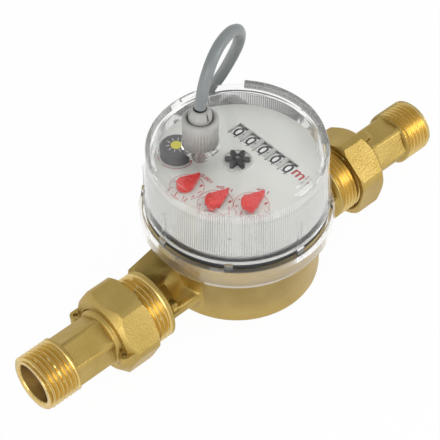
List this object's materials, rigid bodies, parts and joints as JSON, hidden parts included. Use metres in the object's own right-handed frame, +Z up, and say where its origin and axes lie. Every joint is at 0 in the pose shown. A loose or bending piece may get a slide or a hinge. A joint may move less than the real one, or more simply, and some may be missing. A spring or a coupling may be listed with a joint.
{
  "type": "water meter",
  "caption": "Brass domestic water meter with threaded union tails, a clear-covered dial with rollers and pointers, and a pulse sensor on a grey cable.",
  "frame": {"origin": "on the floor under the middle of the bowl, measured without the cable", "axes": "+X along the pipe from inlet to outlet, +Z up, +Y to the back, where the cable lies coiled"},
  "size_m": [0.19, 0.1128, 0.1089],
  "materials": {
    "cast_brass": "cast, lightly blasted",
    "clear_plastic": "clear moulded",
    "white_plastic": "moulded",
    "dial_white": "printed dial",
    "roller_white": "printed drum",
    "gear_plastic": "moulded acetal",
    "red_plastic": "moulded",
    "black_plastic": "moulded",
    "grey_plastic": "moulded",
    "core_grey": "potted capsule",
    "black_rubber": "moulded",
    "fibre": "pressed fibre",
    "steel": "drawn",
    "magnet": "sintered ferrite",
    "grey_pvc": "extruded jacket",
    "tie_black": "moulded",
    "wire": "insulated cores with tinned tips"
  },
  "bodies": {
    "meter": {"body": "cast_brass", "inlet_strainer": "white_plastic", "impeller_pivot": "steel", "separator_plate": "white_plastic", "body_seal": "black_rubber", "register_case": "white_plastic", "gear_deck": "white_plastic", "dial_plate": "dial_white", "cover": "clear_plastic", "clamp_ring": "clear_plastic", "cover_gasket": "black_rubber", "roller_shaft": "steel", "carry_shaft": "steel", "carry_pinions": "gear_plastic", "sensor_core": "core_grey", "sensor_head": "grey_plastic", "sensor_collet": "grey_plastic", "inlet_tailpiece": "cast_brass", "outlet_tailpiece": "cast_brass", "inlet_washer": "fibre", "outlet_washer": "fibre", "cable": "grey_pvc", "cable_coil": "grey_pvc", "cable_tie": "tie_black", "wire_ends": "wire"},
    "impeller": {"impeller": "white_plastic", "drive_magnet": "magnet"},
    "spindle": {"star_spindle": "steel", "follower_magnet": "magnet", "flow_star": "black_plastic"},
    "idler_0": {"idler_0": "gear_plastic"},
    "idler_1": {"idler_1": "gear_plastic"},
    "idler_2": {"idler_2": "gear_plastic"},
    "idler_3": {"idler_3": "gear_plastic"},
    "pulse_disc": {"disc_wheel": "gear_plastic", "pulse_disc": "grey_plastic", "pulse_magnet": "magnet"},
    "pointer_1": {"wheel_1": "gear_plastic", "pointer_1": "red_plastic"},
    "pointer_2": {"wheel_2": "gear_plastic", "pointer_2": "red_plastic"},
    "pointer_3": {"wheel_3": "gear_plastic", "pointer_3": "red_plastic"},
    "roller_1": {"roller_1": "roller_white"},
    "roller_2": {"roller_2": "roller_white"},
    "roller_3": {"roller_3": "roller_white"},
    "roller_4": {"roller_4": "roller_white"},
    "roller_5": {"roller_5": "roller_white"},
    "inlet_nut": {"inlet_nut": "cast_brass"},
    "outlet_nut": {"outlet_nut": "cast_brass"}
  },
  "joints": [
    {"name": "impeller_spin", "type": "hinge", "parent": "meter", "child": "impeller", "pos_m": [0, 0, 0.01657], "axis": [0, 0, 1], "continuous": true},
    {"name": "spindle_spin", "type": "hinge", "parent": "meter", "child": "spindle", "pos_m": [0, 0, 0.04657], "axis": [0, 0, 1], "continuous": true},
    {"name": "idler_0_turn", "type": "hinge", "parent": "meter", "child": "idler_0", "pos_m": [-0.00581, 0.01318, 0.05057], "axis": [0, 0, 1], "continuous": true},
    {"name": "idler_1_turn", "type": "hinge", "parent": "meter", "child": "idler_1", "pos_m": [-0.01554, 0.0089, 0.05057], "axis": [0, 0, 1], "continuous": true},
    {"name": "idler_2_turn", "type": "hinge", "parent": "meter", "child": "idler_2", "pos_m": [-0.01494, -0.00223, 0.05057], "axis": [0, 0, 1], "continuous": true},
    {"name": "idler_3_turn", "type": "hinge", "parent": "meter", "child": "idler_3", "pos_m": [-0.0112, -0.01005, 0.05057], "axis": [0, 0, 1], "continuous": true},
    {"name": "pulse_disc_turn", "type": "hinge", "parent": "meter", "child": "pulse_disc", "pos_m": [-0.01347, 0.01663, 0.05257], "axis": [0, 0, 1], "continuous": true},
    {"name": "pointer_1_turn", "type": "hinge", "parent": "meter", "child": "pointer_1", "pos_m": [-0.02123, 0.00272, 0.05257], "axis": [0, 0, 1], "continuous": true},
    {"name": "pointer_2_turn", "type": "hinge", "parent": "meter", "child": "pointer_2", "pos_m": [-0.01918, -0.00948, 0.05257], "axis": [0, 0, 1], "continuous": true},
    {"name": "pointer_3_turn", "type": "hinge", "parent": "meter", "child": "pointer_3", "pos_m": [-0.01086, -0.01844, 0.05257], "axis": [0, 0, 1], "continuous": true},
    {"name": "roller_1_turn", "type": "hinge", "parent": "meter", "child": "roller_1", "pos_m": [0.0113, 0.0113, 0.05107], "axis": [0, 1, 0], "continuous": true},
    {"name": "roller_2_turn", "type": "hinge", "parent": "meter", "child": "roller_2", "pos_m": [0.0113, 0.00505, 0.05107], "axis": [0, 1, 0], "continuous": true},
    {"name": "roller_3_turn", "type": "hinge", "parent": "meter", "child": "roller_3", "pos_m": [0.0113, -0.0012, 0.05107], "axis": [0, 1, 0], "continuous": true},
    {"name": "roller_4_turn", "type": "hinge", "parent": "meter", "child": "roller_4", "pos_m": [0.0113, -0.00745, 0.05107], "axis": [0, 1, 0], "continuous": true},
    {"name": "roller_5_turn", "type": "hinge", "parent": "meter", "child": "roller_5", "pos_m": [0.0113, -0.0137, 0.05107], "axis": [0, 1, 0], "continuous": true},
    {"name": "inlet_nut_turn", "type": "hinge", "parent": "meter", "child": "inlet_nut", "pos_m": [-0.0575, 0, 0.01657], "axis": [1, 0, 0], "continuous": true},
    {"name": "outlet_nut_turn", "type": "hinge", "parent": "meter", "child": "outlet_nut", "pos_m": [0.0575, 0, 0.01657], "axis": [1, 0, 0], "continuous": true}
  ],
  "couplings": [
    {"joint": "spindle_spin", "follows": "impeller_spin", "ratio": 1},
    {"joint": "idler_0_turn", "follows": "impeller_spin", "ratio": -0.125},
    {"joint": "pulse_disc_turn", "follows": "impeller_spin", "ratio": 0.05},
    {"joint": "idler_1_turn", "follows": "impeller_spin", "ratio": -0.0125},
    {"joint": "pointer_1_turn", "follows": "impeller_spin", "ratio": 0.005},
    {"joint": "idler_2_turn", "follows": "impeller_spin", "ratio": -0.00125},
    {"joint": "pointer_2_turn", "follows": "impeller_spin", "ratio": 0.0005},
    {"joint": "idler_3_turn", "follows": "impeller_spin", "ratio": -0.000125},
    {"joint": "pointer_3_turn", "follows": "impeller_spin", "ratio": 0.00005},
    {"joint": "roller_5_turn", "follows": "impeller_spin", "ratio": 0.000005},
    {"joint": "roller_4_turn", "follows": "impeller_spin", "ratio": 0.0000005},
    {"joint": "roller_3_turn", "follows": "impeller_spin", "ratio": 0.00000005},
    {"joint": "roller_2_turn", "follows": "impeller_spin", "ratio": 0.000000005},
    {"joint": "roller_1_turn", "follows": "impeller_spin", "ratio": 0.0000000005}
  ]
}
